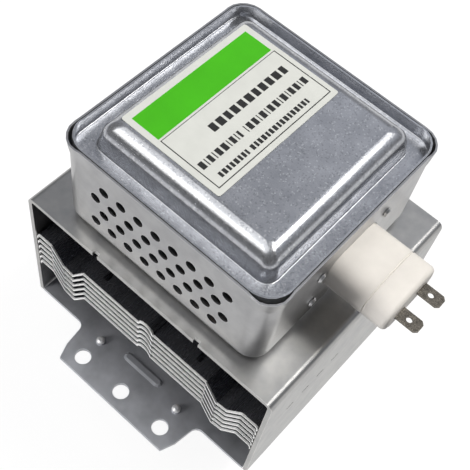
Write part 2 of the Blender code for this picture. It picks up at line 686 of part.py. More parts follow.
def cathode(molybdenum, tungsten, ceramic):
    """Stem insulator, two rods, end hats and the filament between them."""
    base = YOKE_TOP + STEM_RISE + SEAT
    top = base + STEM_CERAMIC_HEIGHT
    insulator = column(bmesh.new(), (0.0, 0.0), CAN_RADIUS, base, top, INNER_STEPS)
    stem = solid("stem_ceramic", insulator, ceramic)
    holes = bmesh.new()
    for centre_y in (0.0, CATHODE_ROD_SPACING):
        column(holes, (0.0, centre_y), CATHODE_ROD_RADIUS + SEAT, base - SEAT, top + SEAT,
               ROD_STEPS)
    carve(stem, cutter("stem_holes", holes, ceramic))

    hat_gap = SEAT + FILAMENT_WIRE
    upper_hat = VANE_Z + VANE_HEIGHT + SEAT
    lower_hat = VANE_Z - SEAT - HAT_THICKNESS
    bore = CATHODE_ROD_RADIUS + SEAT
    for name, low in (("upper_end_hat", upper_hat), ("lower_end_hat", lower_hat)):
        high = low + HAT_THICKNESS
        profile = [(bore, low), (HAT_RADIUS, low), (HAT_RADIUS, high), (bore, high)]
        solid(name, turned(bmesh.new(), profile, SMALL_STEPS), molybdenum)

    rod_top = top + STEM_ROD_RISE
    centre_rod = column(bmesh.new(), (0.0, 0.0), CATHODE_ROD_RADIUS, lower_hat, rod_top, ROD_STEPS)
    solid("cathode_centre_rod", centre_rod, molybdenum)
    side_rod = column(bmesh.new(), (0.0, CATHODE_ROD_SPACING), CATHODE_ROD_RADIUS,
                      upper_hat + HAT_THICKNESS + SEAT, rod_top, ROD_STEPS)
    solid("cathode_side_rod", side_rod, molybdenum)

    low = lower_hat + HAT_THICKNESS + hat_gap
    high = upper_hat - hat_gap
    steps = FILAMENT_TURNS * COIL_STEPS
    points = []
    for index in range(steps + 1):
        angle = 2 * math.pi * FILAMENT_TURNS * index / steps
        height = low + (high - low) * index / steps
        points.append((FILAMENT_RADIUS * math.cos(angle), FILAMENT_RADIUS * math.sin(angle), height))
    wire("filament", points, FILAMENT_WIRE, tungsten, 0)


def box_ring(half_x, height, radius):
    """Ring of the box or lid at a height, given by its half width."""
    half_y = half_x + (BOX_DEPTH - BOX_WIDTH) / 2
    ring = []
    for quarter, (side_x, side_y) in enumerate(((1, 1), (-1, 1), (-1, -1), (1, -1))):
        corner = (side_x * (half_x - radius), side_y * (half_y - radius))
        start = quarter * math.pi / 2
        bend = arc(corner, radius, start, start + math.pi / 2, CORNER_STEPS)
        before = Vector(bend[0]) - Vector((-math.sin(start), math.cos(start))) * CORNER_BLEND
        after = Vector(bend[-1]) - Vector((math.cos(start), math.sin(start))) * CORNER_BLEND
        ring += [tuple(before)] + bend + [tuple(after)]
    return [(x, y, height) for x, y in ring]


def mixed(plain, corner):
    """Ring that follows one ring along the sides and another at the corners."""
    weights = [0.0, CORNER_SHARE] + [1.0] * (CORNER_STEPS - 1) + [CORNER_SHARE, 0.0]
    ring = []
    for weight, first, second in zip(weights * 4, plain, corner):
        ring.append(tuple(Vector(first).lerp(Vector(second), weight)))
    return ring


def wall_corner(half_x):
    """Plan radius that keeps the sheet's corners concentric."""
    return max(BOX_CORNER - (BOX_FACE_X - half_x), BOX_CORNER - BOX_FOOT_RADIUS)


def filter_box(steel):
    """Drawn box with a swollen mouth, vents in two walls and the capacitor's window."""
    face = BOX_FACE_X
    mouth = face + BOX_MOUTH_SWELL
    swell_top = BOX_RIM - BOX_MOUTH_HEIGHT
    swell_low = swell_top - BOX_SWELL_RUN
    foot = BOX_BASE + BOX_FOOT_RADIUS

    def level(half_x, height):
        return box_ring(half_x, height, wall_corner(half_x))

    def rim(half_x):
        return mixed(level(half_x, BOX_RIM), level(half_x + CORNER_BULGE, BOX_RIM - CORNER_DROP))

    corner = (face - BOX_FOOT_RADIUS, foot)
    outside = [level(*point) for point in arc(corner, BOX_FOOT_RADIUS, -math.pi / 2, 0)]
    outside += [level(face, swell_low), level(mouth, swell_top), rim(mouth)]
    inside = [rim(mouth - BOX_SHEET), level(mouth - BOX_SHEET, swell_top), level(face - BOX_SHEET, swell_low)]
    inside += [level(*point) for point in arc(corner, BOX_FOOT_RADIUS - BOX_SHEET, 0, -math.pi / 2)]
    box = solid("filter_box", loft(bmesh.new(), outside + inside), steel)

    holes = bmesh.new()
    column(holes, (0.0, 0.0), CAN_BORE_RADIUS, YOKE_CEILING, BOX_BASE + BOX_FOOT_RADIUS, INNER_STEPS)
    first_x = -((VENT_COLUMNS - 1) * VENT_PITCH + VENT_ROW_SHIFT) / 2
    first_z = BOX_MIDDLE_Z + VENT_RAISE - (VENT_ROWS - 1) * VENT_ROW_PITCH / 2
    for row in range(VENT_ROWS):
        for column_index in range(VENT_COLUMNS):
            centre_x = first_x + column_index * VENT_PITCH + (row % 2) * VENT_ROW_SHIFT
            centre = (centre_x, first_z + row * VENT_ROW_PITCH)
            along_y(holes, circle(centre, VENT_RADIUS, VENT_STEPS), -BOX_DEPTH, BOX_DEPTH)
    carve(box, cutter("box_vents_and_bore", holes, steel))

    window = bmesh.new()
    opening = obround(CAPACITOR_WIDTH + 2 * SEAT, CAPACITOR_HEIGHT + 2 * SEAT, (0.0, CAPACITOR_Z))
    along_x(window, opening, BOX_FACE_X / 2, BOX_WIDTH)
    for centre in rivet_centres():
        along_x(window, circle(centre, RIVET_SHANK_RADIUS + SEAT, ROD_STEPS), BOX_FACE_X / 2, BOX_WIDTH)
    carve(box, cutter("box_capacitor_window", window, steel))


def rivet_centres():
    """Places of the capacitor's rivets as (y, z)."""
    centres = []
    for side_y in (-1, 1):
        for side_z in (-1, 1):
            centres.append((side_y * RIVET_SPACING_Y / 2, RIVETS_Z + side_z * RIVET_SPACING_Z / 2))
    return centres


def filter_lid(steel):
    """Pan pressed into the box's mouth, raised to a plateau in the middle."""
    lip = BOX_FACE_X + BOX_MOUTH_SWELL - BOX_SHEET - SEAT
    lip_in = lip - LID_SHEET
    shoulder = (LID_PLATEAU_HALF, PLATEAU_Z - LID_SHOULDER)
    lean = math.pi / 2 - LID_SIDE_ANGLE
    side_start = Vector(shoulder) + Vector((math.cos(lean), math.sin(lean))) * LID_SHOULDER
    foot_z = LEDGE_Z + LID_FOOT
    tangent_z = foot_z - LID_FOOT * math.sin(lean)
    tangent_x = side_start.x + (side_start.y - tangent_z) * math.tan(lean)
    foot = (tangent_x + LID_FOOT * math.cos(lean), foot_z)
    crease = foot[0]

    def corner_radius(half_x):
        if half_x > lip_in:
            return wall_corner(half_x)
        if half_x > crease:
            share = (half_x - crease) / (lip_in - crease)
            return LID_CREASE_CORNER + (wall_corner(lip_in) - LID_CREASE_CORNER) * share
        share = (half_x - LID_PLATEAU_HALF) / (crease - LID_PLATEAU_HALF)
        return LID_PLATEAU_CORNER + (LID_CREASE_CORNER - LID_PLATEAU_CORNER) * max(share, 0.0)

    def level(half_x, height):
        return box_ring(half_x, height, corner_radius(half_x))

    def lip_level(half_x, share):
        height = BOX_RIM - LID_LIP_LEAN * (1 - share)
        radius = wall_corner(half_x)
        drawn_in = box_ring(half_x, height + LID_CORNER_RISE * share, radius + LID_CORNER_CUT * share)
        return mixed(box_ring(half_x, height, radius), drawn_in)

    fillet = (lip_in - LID_LIP_FILLET, LEDGE_Z + LID_LIP_FILLET)
    top = [level(*point) for point in arc(shoulder, LID_SHOULDER, math.pi / 2, lean)]
    top += [level(*point) for point in arc(foot, LID_FOOT, math.pi + lean, 1.5 * math.pi, 2)]
    top += [level(*point) for point in arc(fillet, LID_LIP_FILLET, -math.pi / 2, 0, 2)]
    shares = (0.0, 0.5, 1.0)
    top += [lip_level(lip_in, share) for share in shares]
    under = [lip_level(lip, share) for share in reversed(shares)]
    fillet_under = arc(fillet, LID_LIP_FILLET + LID_SHEET, 0, -math.pi / 2, 2)
    under += [level(*point) for point in fillet_under]
    under += [level(*point) for point in arc(foot, LID_FOOT + LID_SHEET, 1.5 * math.pi, math.pi + lean, 2)]
    under += [level(*point) for point in arc(shoulder, LID_SHOULDER - LID_SHEET, lean, math.pi / 2, 2)]
    solid("filter_lid", loft(bmesh.new(), top + under), steel)


def rating_label(film):
    """Label stuck on the plateau."""
    base = PLATEAU_Z + LABEL_SEAT
    outline = rounded(LABEL_WIDTH / 2, LABEL_DEPTH / 2, LABEL_CORNER, (LABEL_X, LABEL_Y))
    solid("rating_label", upright(bmesh.new(), outline, base, base + LABEL_SHEET), film)


def capacitor(plastic, metal, steel):
    """Feed-through capacitor in the box wall, with its blades, bracket and rivets."""
    wall_in = BOX_FACE_X - BOX_SHEET
    tip = BOX_FACE_X + CAPACITOR_REACH
    seam = BOX_FACE_X + CAPACITOR_COLLAR
    tail = wall_in - CAPACITOR_TAIL
    edge = CAPACITOR_EDGE
    levels = [(tail, 0.0), (seam - CAPACITOR_SEAM, 0.0), (seam, CAPACITOR_SEAM), (seam + CAPACITOR_SEAM, 0.0)]
    levels += [(x, edge - inset) for x, inset in arc((tip - edge, 0.0), edge, math.pi / 2, 0, 3)]
    rings = []
    for x, inset in levels:
        flat = obround(CAPACITOR_WIDTH - 2 * inset, CAPACITOR_HEIGHT - 2 * inset, (0.0, CAPACITOR_Z))
        rings.append([(x, y, z) for y, z in flat])
    body = solid("capacitor_body", loft(bmesh.new(), rings), plastic)
    slots = bmesh.new()
    for side in (-1, 1):
        centre_y = side * BLADE_SPACING / 2
        block(slots, (tail - edge, centre_y - BLADE_WIDTH / 2 - SEAT, CAPACITOR_Z - BLADE_SHEET / 2 - SEAT),
              (tip + edge, centre_y + BLADE_WIDTH / 2 + SEAT, CAPACITOR_Z + BLADE_SHEET / 2 + SEAT))
    carve(body, cutter("capacitor_slots", slots, plastic))

    reach = tip + BLADE_REACH
    for index, side in enumerate((-1, 1)):
        centre_y = side * BLADE_SPACING / 2
        half = BLADE_WIDTH / 2
        outline = [(tail - BLADE_TAIL, centre_y - half), (reach - BLADE_CHAMFER, centre_y - half),
                   (reach, centre_y - half + BLADE_CHAMFER), (reach, centre_y + half - BLADE_CHAMFER),
                   (reach - BLADE_CHAMFER, centre_y + half), (tail - BLADE_TAIL, centre_y + half)]
        low = CAPACITOR_Z - BLADE_SHEET / 2
        high = CAPACITOR_Z + BLADE_SHEET / 2
        name = "terminal_blade_%d" % (index + 1)
        blade = solid(name, upright(bmesh.new(), outline, low, high), metal)
        hole = column(bmesh.new(), (reach - BLADE_HOLE_INSET, centre_y), BLADE_HOLE_RADIUS, low - BLADE_SHEET,
                      high + BLADE_SHEET)
        carve(blade, cutter(name + "_hole", hole, metal))

    bracket_x = wall_in - SEAT
    outline = rounded(BRACKET_WIDTH / 2, BRACKET_HEIGHT / 2, BRACKET_CORNER, (0.0, RIVETS_Z))
    bracket = solid("capacitor_bracket", along_x(bmesh.new(), outline, bracket_x - BRACKET_SHEET, bracket_x),
                    steel)
    window = bmesh.new()
    opening = obround(CAPACITOR_WIDTH + 2 * SEAT, CAPACITOR_HEIGHT + 2 * SEAT, (0.0, CAPACITOR_Z))
    along_x(window, opening, bracket_x - 2 * BRACKET_SHEET, bracket_x + BRACKET_SHEET)
    for centre in rivet_centres():
        outline = circle(centre, RIVET_SHANK_RADIUS + SEAT, ROD_STEPS)
        along_x(window, outline, bracket_x - 2 * BRACKET_SHEET, bracket_x + BRACKET_SHEET)
    carve(bracket, cutter("bracket_window", window, steel))

    head_in = bracket_x - BRACKET_SHEET - SEAT
    head_out = BOX_FACE_X + SEAT
    crown = RIVET_HEAD_RADIUS * RIVET_HEAD_TAPER
    profile = [(head_in - RIVET_HEAD_HEIGHT, crown), (head_in, RIVET_HEAD_RADIUS),
               (head_in, RIVET_SHANK_RADIUS), (head_out, RIVET_SHANK_RADIUS), (head_out, RIVET_HEAD_RADIUS),
               (head_out + RIVET_HEAD_HEIGHT, crown)]
    for index, centre in enumerate(rivet_centres()):
        rings = []
        for x, radius in profile:
            rings.append([(x, y, z) for y, z in circle(centre, radius, ROD_STEPS)])
        solid("bracket_rivet_%d" % (index + 1), loft(bmesh.new(), rings), steel)


def choke_coils(copper, ferrite):
    """Two chokes between the stem's rods and the capacitor, each on its core."""
    length = COIL_TURNS * COIL_PITCH
    blade_end = BOX_FACE_X - BOX_SHEET - CAPACITOR_TAIL - BLADE_TAIL
    stem_top = YOKE_TOP + STEM_RISE + SEAT + STEM_CERAMIC_HEIGHT + STEM_ROD_RISE
    for index, side in enumerate((-1, 1)):
        axis_y = side * COIL_SPACING / 2
        blade_y = side * BLADE_SPACING / 2
        rod_y = 0.0 if side < 0 else CATHODE_ROD_SPACING
        steps = COIL_TURNS * COIL_STEPS
        points = [(0.0, rod_y, stem_top + SEAT + COIL_WIRE)]
        points.append((COIL_LEAD_X, axis_y - side * COIL_LEAD_SIDE, CAPACITOR_Z))
        for step in range(steps + 1):
            angle = 2 * math.pi * COIL_TURNS * step / steps + math.pi
            x = COIL_START_X + length * step / steps
            y = axis_y + side * COIL_RADIUS * math.cos(angle)
            points.append((x, y, CAPACITOR_Z + COIL_RADIUS * math.sin(angle)))
        points.append((blade_end - SEAT - COIL_WIRE, blade_y, CAPACITOR_Z))
        wire("choke_coil_%d" % (index + 1), points, COIL_WIRE, copper, 0)
        outline = circle((axis_y, CAPACITOR_Z), CORE_RADIUS)
        core_end = COIL_START_X + length + CORE_OVERHANG
        core = along_x(bmesh.new(), outline, COIL_START_X - CORE_OVERHANG, core_end)
        solid("choke_core_%d" % (index + 1), core, ferrite)


def main():
    for thing in list(bpy.data.objects):
        bpy.data.objects.remove(thing)
    galvanised = material("galvanised_steel", (0.66, 0.68, 0.70), 0.38, 1.0)
    lid_steel = material("lid_steel", (0.70, 0.72, 0.75), 0.34, 1.0)
    fin_aluminium = material("fin_aluminium", (0.86, 0.87, 0.88), 0.30, 1.0)
    ferrite = material("ferrite", (0.07, 0.07, 0.08), 0.75, 0.0)
    copper = material("copper", (0.80, 0.45, 0.28), 0.35, 1.0)
    pole_steel = material("pole_steel", (0.55, 0.56, 0.58), 0.35, 1.0)
    can_steel = material("can_steel", (0.62, 0.62, 0.62), 0.30, 1.0)
    ceramic = material("alumina", (0.88, 0.80, 0.80), 0.50, 0.0)
    mesh_wire = material("gasket_wire", (0.60, 0.58, 0.55), 0.55, 1.0)
    molybdenum = material("molybdenum", (0.45, 0.46, 0.48), 0.40, 1.0)
    tungsten = material("tungsten", (0.30, 0.30, 0.32), 0.45, 1.0)
    film = material("label_film", (0.86, 0.88, 0.86), 0.45, 0.0)
    ivory = material("ivory_plastic", (0.82, 0.80, 0.74), 0.45, 0.0)
    blade_metal = material("blade_metal", (0.58, 0.56, 0.53), 0.35, 1.0)

    mounting_plate(galvanised)
    yoke(galvanised)
    cooling_fins(fin_aluminium)
    magnets(ferrite)
    anode(copper)
    pole_pieces(pole_steel)
    seal_cans(can_steel)
    antenna(can_steel, copper, ceramic)
    gasket(can_steel, mesh_wire)
    cathode(molybdenum, tungsten, ceramic)
    filter_box(galvanised)
    filter_lid(lid_steel)
    rating_label(film)
    capacitor(ivory, blade_metal, galvanised)
    choke_coils(copper, ferrite)


main()
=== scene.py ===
import json
import math

import bmesh
import bpy
from mathutils import Matrix, Vector

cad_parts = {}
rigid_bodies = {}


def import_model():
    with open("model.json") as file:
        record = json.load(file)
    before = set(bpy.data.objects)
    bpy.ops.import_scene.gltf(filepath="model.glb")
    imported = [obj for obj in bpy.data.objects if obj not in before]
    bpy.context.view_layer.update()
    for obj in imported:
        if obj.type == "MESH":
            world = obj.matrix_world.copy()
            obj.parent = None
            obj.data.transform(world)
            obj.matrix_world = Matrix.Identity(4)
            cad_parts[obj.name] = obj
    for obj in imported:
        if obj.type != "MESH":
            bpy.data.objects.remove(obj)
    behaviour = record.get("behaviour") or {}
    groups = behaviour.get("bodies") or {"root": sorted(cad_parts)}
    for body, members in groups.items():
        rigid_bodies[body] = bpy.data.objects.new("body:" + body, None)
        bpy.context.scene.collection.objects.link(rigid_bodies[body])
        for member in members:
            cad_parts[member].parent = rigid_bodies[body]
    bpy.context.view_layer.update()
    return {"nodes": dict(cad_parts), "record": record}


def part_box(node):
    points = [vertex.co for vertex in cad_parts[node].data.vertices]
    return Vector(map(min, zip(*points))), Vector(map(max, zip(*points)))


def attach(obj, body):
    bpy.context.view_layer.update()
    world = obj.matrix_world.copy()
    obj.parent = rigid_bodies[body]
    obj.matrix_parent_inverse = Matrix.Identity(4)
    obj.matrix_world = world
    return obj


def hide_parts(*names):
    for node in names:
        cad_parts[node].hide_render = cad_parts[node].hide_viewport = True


for thing in list(bpy.data.objects):
    bpy.data.objects.remove(thing)
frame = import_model()
NODES = frame["nodes"]

MM = 0.001

# Heights on the CAD nodes, in metres
PLATEAU_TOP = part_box("rating_label")[1].z
FLOOR_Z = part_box("antenna_cap")[0].z

# Places on the CAD nodes that the materials use, in millimetres
FIN_FRONT = max(abs(point.y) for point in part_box("cooling_fin_6")) / MM
YOKE_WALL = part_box("yoke")[1].x / MM
BOSS_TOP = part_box("mounting_plate")[1].z / MM

# Slits in the yoke's walls, in millimetres: mid height, half height with a margin, and a place along Y
# between the last slit and the yoke's open side
SLIT_LEVEL = 36.5
SLIT_REACH = 0.55
SLIT_END = 36.0

# Depths over which a mask starts and is full, in millimetres
WALL_SKIN = (0.02, 0.05)
SLIT_FADE = 1.0
BOSS_RUB_AND_HIGHLIGHT = (0.9, 0.5)
FIN_RIM = (0.6, 0.7)

# Upward parts of the normal from which a face counts as an underside, in part and in full; on the fins the
# undersides keep the painted shade
UNDERSIDE = (-0.3, -0.5)

# Colours of the masks
# Near black: painted shade in the slits of the yoke's walls
SLIT_SHADE = (0.01, 0.01, 0.01)
# Near white on the boss tops: partly rubbed zinc, partly a painted highlight
RUBBED_ZINC_AND_HIGHLIGHT = (0.95, 0.95, 0.96)
# White on the fins' front rims: painted light
RIM_PAINTED_LIGHT = (0.97, 0.97, 0.96)

# Noise: the range that most of it lies in, its detail in blotches and in grain, and plastic's grain in
# millimetres
NOISE_RANGE = (0.3, 0.7)
NOISE_ROUGHNESS = 0.55
BLOTCH_DETAIL = 3.0
GRAIN_DETAIL = 2.0
PLASTIC_GRAIN = 0.35

# Worn edges, partly wear and partly a painted edge highlight: how far the flat and the rounded normal agree
# where the brightening starts and where it is full, and the brightest that it gets
EDGE_RANGE = (0.99, 0.80)
EDGE_SAMPLES = 4
WORN_HIGHLIT_MOST = 0.97

# Factor on the light colour of a metal, for its worn and painted-highlight edges and its bright specks
BRIGHTER = 1.5

# Zinc specks: cell size in millimetres, the random values that make a cell bright or dull, the strength
# of dull specks next to bright ones, and the factor on the dark colour for dull specks
SPECK_SIZE = 0.42
BRIGHT_SPECKS = (0.90, 0.96)
DULL_SPECKS = (0.84, 0.94)
DULL_SHARE = 0.8
DULLER = 0.45

# Shading: edges steeper than these angles stay sharp, points closer than the weld distance are joined, and
# a face's weight in a shared normal grows with its size
SHARP_ANGLE = math.radians(38)
PLATE_SHARP_ANGLE = math.radians(12)
WELD_DISTANCE = 0.002 * MM
FACE_WEIGHT = 100

# Label in millimetres: the band's and the frame line's outer edges as x low, x high, y low, y high, the
# line's width and the thinner side's share of it, the corner's radius, and how far the print stands proud
BAND = (-26.4, -16.2, -23.9, 24.5)
FRAME_LINE = (-15.5, 6.2, -23.9, 25.1)
LINE_WIDTH = 0.32
THIN_SHARE = 0.6
LABEL_CORNER = 0.8
CORNER_STEPS = 6
PRINT_RISE = 0.02

# Rows of plain bars on the label in millimetres: x low, x high, y low, y high, widths of the bars, gap
BAR_ROWS = (
    (-10.2, -7.3, -10.6, 22.6, (2.1, 2.4, 1.9, 2.2), 0.9),
    (-3.3, -0.7, -22.4, -5.6, (1.7, 0.35, 1.4, 0.35, 1.6), 0.75),
    (-3.3, -0.7, -3.6, 23.6, (0.35, 1.6, 1.5, 0.35, 1.7), 0.75),
    (2.5, 4.4, -20.6, -8.8, (1.0, 1.2, 0.9), 0.55),
    (2.5, 4.4, -7.4, 17.6, (1.2, 0.9, 1.1), 0.55),
)

# Floor: half width in metres, roughness, colour for bounced rays and for those of the camera and of
# reflections, and glow for the camera and for reflections
FLOOR_REACH = 3.0
FLOOR_ROUGHNESS = 0.9
FLOOR_BOUNCED = (0.20, 0.20, 0.20)
FLOOR_DIRECT = (0.22, 0.22, 0.22)
CAMERA_GLOW = 0.86
REFLECTED_GLOW = 0.60

# Lamps: places in metres
LAMP_TARGET = (0.0, 0.0, 0.05)
KEY_PLACE = (0.33, 0.46, 1.00)
FILL_PLACE = (-0.47, -0.84, 0.30)
OVERHEAD_PLACE = (-0.22, -0.18, 1.00)
FRONT_PLACE = (-0.36, -0.43, 0.88)
WHITE = (1.0, 1.0, 1.0)
WARM = (1.0, 0.985, 0.95)

# Room that metal reflects: colours level and straight up, stops between with their tint, and the rear
# wall with the parts of the direction along Y and Z over which it appears; then the light of all other rays
ROOM_LEVEL = (1.0, 1.0, 1.0)
ROOM_TOP = (0.16, 0.17, 0.18)
ROOM_STOPS = ((0.05, 0.80), (0.18, 0.14), (0.60, 0.10), (0.85, 0.12))
ROOM_TINT = (1.0, 1.01, 1.05)
REAR_WALL = (0.44, 0.46, 0.51)
REAR_BEHIND = (0.15, 0.65)
REAR_ABOVE = (0.2, 0.6)
DIM_ROOM = (0.035, 0.035, 0.04)

# Camera, fitted to the photograph
AZIMUTH = math.radians(31.074)
ELEVATION = math.radians(58.953)
ROLL = math.radians(12.171)
CAMERA_PLACE = Vector((0.080971, -0.137928, 0.297433))
LENS = 67.955
SENSOR_WIDTH = 36.0
SHIFT = (0.02127, 0.04154)
CLIP = (0.01, 20.0)


# Node helpers
def new_material(name):
    """Material with a Principled shader, its tree and that shader."""
    made = bpy.data.materials.new(name)
    made.use_nodes = True
    tree = made.node_tree
    tree.nodes.clear()
    out = tree.nodes.new("ShaderNodeOutputMaterial")
    shader = tree.nodes.new("ShaderNodeBsdfPrincipled")
    tree.links.new(shader.outputs[0], out.inputs["Surface"])
    return made, tree, shader


def calculated(tree, operation, *values):
    """Result of a Math node on numbers or other nodes' outputs."""
    made = tree.nodes.new("ShaderNodeMath")
    made.operation = operation
    for socket, value in zip(made.inputs, values):
        if isinstance(value, float):
            socket.default_value = value
        else:
            tree.links.new(value, socket)
    return made.outputs[0]


def spread(tree, value, low, high, to_low, to_high):
    """Maps a value's range onto another, clamped."""
    made = tree.nodes.new("ShaderNodeMapRange")
    made.inputs["From Min"].default_value = low
    made.inputs["From Max"].default_value = high
    made.inputs["To Min"].default_value = to_low
    made.inputs["To Max"].default_value = to_high
    tree.links.new(value, made.inputs["Value"])
    return made.outputs["Result"]


def share_of(tree, value, low, high):
    """Share that goes from 0 at one value to 1 at another."""
    return spread(tree, value, low, high, 0.0, 1.0)


def blend_colors(tree, share, first, second):
    """Mix of two colours or colour outputs by a share."""
    made = tree.nodes.new("ShaderNodeMix")
    made.data_type = 'RGBA'
    tree.links.new(share, made.inputs["Factor"])
    for socket, value in ((made.inputs["A"], first), (made.inputs["B"], second)):
        if isinstance(value, tuple):
            socket.default_value = (*value, 1.0)
        else:
            tree.links.new(value, socket)
    return made.outputs["Result"]


def place_of(tree, stretch=(1.0, 1.0, 1.0)):
    """Position in the object's own frame, in millimetres, stretched along the axes."""
    where = tree.nodes.new("ShaderNodeTexCoord")
    scale = tree.nodes.new("ShaderNodeMapping")
    scale.inputs["Scale"].default_value = [part / MM for part in stretch]
    tree.links.new(where.outputs["Object"], scale.inputs["Vector"])
    return scale.outputs["Vector"]


def part_along(tree, vector, axis):
    """Part of a vector output along one axis."""
    split = tree.nodes.new("ShaderNodeSeparateXYZ")
    tree.links.new(vector, split.inputs["Vector"])
    return split.outputs[axis]


def off_centre(tree, axis):
    """Distance from the object's middle along one axis, in millimetres."""
    return calculated(tree, 'ABSOLUTE', part_along(tree, place_of(tree), axis))


def noise(tree, vector, size, detail=BLOTCH_DETAIL):
    """Noise with blotches of about size millimetres."""
    made = tree.nodes.new("ShaderNodeTexNoise")
    made.inputs["Scale"].default_value = 1.0 / size
    made.inputs["Detail"].default_value = detail
    made.inputs["Roughness"].default_value = NOISE_ROUGHNESS
    tree.links.new(vector, made.inputs["Vector"])
    return made.outputs["Fac"]


def bumped(tree, shader, height, distance):
    """Gives a shader a bump of a distance in metres."""
    made = tree.nodes.new("ShaderNodeBump")
    made.inputs["Strength"].default_value = 1.0
    made.inputs["Distance"].default_value = distance
    tree.links.new(height, made.inputs["Height"])
    tree.links.new(made.outputs["Normal"], shader.inputs["Normal"])


def scaled(color, factor, most=1.0):
    """Colour times a factor, with no part above most."""
    return tuple(min(most, part * factor) for part in color)


# Masks and layers of the metals
def painted_slit_shade(tree, color):
    """Painted shade: near black under the outer skin of the yoke's walls, at the height of their slits, where
    the slits lie in shade.
    """
    level = calculated(tree, 'COMPARE', part_along(tree, place_of(tree), "Z"), SLIT_LEVEL, SLIT_REACH)
    skin, full = WALL_SKIN
    under_skin = share_of(tree, off_centre(tree, "X"), YOKE_WALL - skin, YOKE_WALL - full)
    before_end = share_of(tree, off_centre(tree, "Y"), SLIT_END, SLIT_END - SLIT_FADE)
    share = calculated(tree, 'MULTIPLY', calculated(tree, 'MULTIPLY', level, under_skin), before_end)
    return blend_colors(tree, share, color, SLIT_SHADE)


def rubbed_and_highlit_tops(tree, color):
    """Bright metal where the plate's bosses stand proud: partly rubbed wear and partly a painted highlight on
    the domes.
    """
    start, full = BOSS_RUB_AND_HIGHLIGHT
    share = share_of(tree, part_along(tree, place_of(tree), "Z"), BOSS_TOP - start, BOSS_TOP - full)
    return blend_colors(tree, share, color, RUBBED_ZINC_AND_HIGHLIGHT)


def behind_rim(tree):
    """Share that is 0 on a fin's cut edges and the rim beside them, where light is painted on, and 1
    elsewhere and underneath, where the dark colour paints the shade inside the stack.
    """
    start, full = FIN_RIM
    behind = share_of(tree, off_centre(tree, "Y"), FIN_FRONT - start, FIN_FRONT - full)
    facing = tree.nodes.new("ShaderNodeNewGeometry")
    under = share_of(tree, part_along(tree, facing.outputs["Normal"], "Z"), *UNDERSIDE)
    return calculated(tree, 'MAXIMUM', behind, under)


def worn_and_highlit_edges(tree, color, bright, radius):
    """Brightens a band of about radius metres along the edges, as wear and as a painted edge highlight."""
    rounded = tree.nodes.new("ShaderNodeBevel")
    rounded.samples = EDGE_SAMPLES
    rounded.inputs["Radius"].default_value = radius
    flat = tree.nodes.new("ShaderNodeNewGeometry")
    alike = tree.nodes.new("ShaderNodeVectorMath")
    alike.operation = 'DOT_PRODUCT'
    tree.links.new(rounded.outputs["Normal"], alike.inputs[0])
    tree.links.new(flat.outputs["Normal"], alike.inputs[1])
    return blend_colors(tree, share_of(tree, alike.outputs["Value"], *EDGE_RANGE), color, bright)


def zinc_specks(tree, vector, color, dark, light, strength):
    """Small bright and dull crystals on a zinc coat."""
    cells = tree.nodes.new("ShaderNodeTexVoronoi")
    cells.inputs["Scale"].default_value = 1.0 / SPECK_SIZE
    tree.links.new(vector, cells.inputs["Vector"])
    split = tree.nodes.new("ShaderNodeSeparateColor")
    tree.links.new(cells.outputs["Color"], split.inputs["Color"])
    bright = spread(tree, split.outputs["Red"], *BRIGHT_SPECKS, 0.0, strength)
    dull = spread(tree, split.outputs["Green"], *DULL_SPECKS, 0.0, strength * DULL_SHARE)
    color = blend_colors(tree, bright, color, scaled(light, BRIGHTER))
    return blend_colors(tree, dull, color, scaled(dark, DULLER))


# Materials
def sheet_metal(name, dark, light, roughness, metallic, stretch=(1.0, 1.0, 1.0), blotch=6.0, grain=0.5,
                specks=0.0, bump=0.00002, edge=0.0, uneven=0.06, rim_light=None, mask=None):
    """Sheet or drawn metal: soft blotches, a fine grain, and on zinc also specks."""
    made, tree, shader = new_material(name)
    vector = place_of(tree, stretch)
    cloud = share_of(tree, noise(tree, vector, blotch), *NOISE_RANGE)
    color = blend_colors(tree, cloud, dark, light)
    fine = noise(tree, vector, grain, GRAIN_DETAIL)
    if specks > 0.0:
        color = zinc_specks(tree, vector, color, dark, light, specks)
    shader.inputs["Metallic"].default_value = metallic
    # Painted light and shade: a white non-metal rim at the front and a dark metal body behind it and
    # underneath
    if rim_light is not None:
        inside = behind_rim(tree)
        color = blend_colors(tree, inside, rim_light, color)
        tree.links.new(spread(tree, inside, 0.0, 1.0, 0.0, metallic), shader.inputs["Metallic"])
    if edge > 0.0:
        color = worn_and_highlit_edges(tree, color, scaled(light, BRIGHTER, WORN_HIGHLIT_MOST), edge)
    if mask is not None:
        color = mask(tree, color)
    tree.links.new(color, shader.inputs["Base Color"])
    rough = spread(tree, fine, *NOISE_RANGE, roughness - uneven, roughness + uneven)
    tree.links.new(rough, shader.inputs["Roughness"])
    if bump > 0.0:
        bumped(tree, shader, fine, bump)
    return made


def plain(name, color, roughness, variation=0.06, blotch=4.0, bump=0.0):
    """Plastic, ceramic, ferrite or ink with a slight unevenness."""
    made, tree, shader = new_material(name)
    vector = place_of(tree)
    cloud = share_of(tree, noise(tree, vector, blotch), *NOISE_RANGE)
    uneven = blend_colors(tree, cloud, scaled(color, 1.0 - variation), scaled(color, 1.0 + variation))
    tree.links.new(uneven, shader.inputs["Base Color"])
    shader.inputs["Roughness"].default_value = roughness
    if bump > 0.0:
        bumped(tree, shader, noise(tree, vector, PLASTIC_GRAIN, GRAIN_DETAIL), bump)
    return made


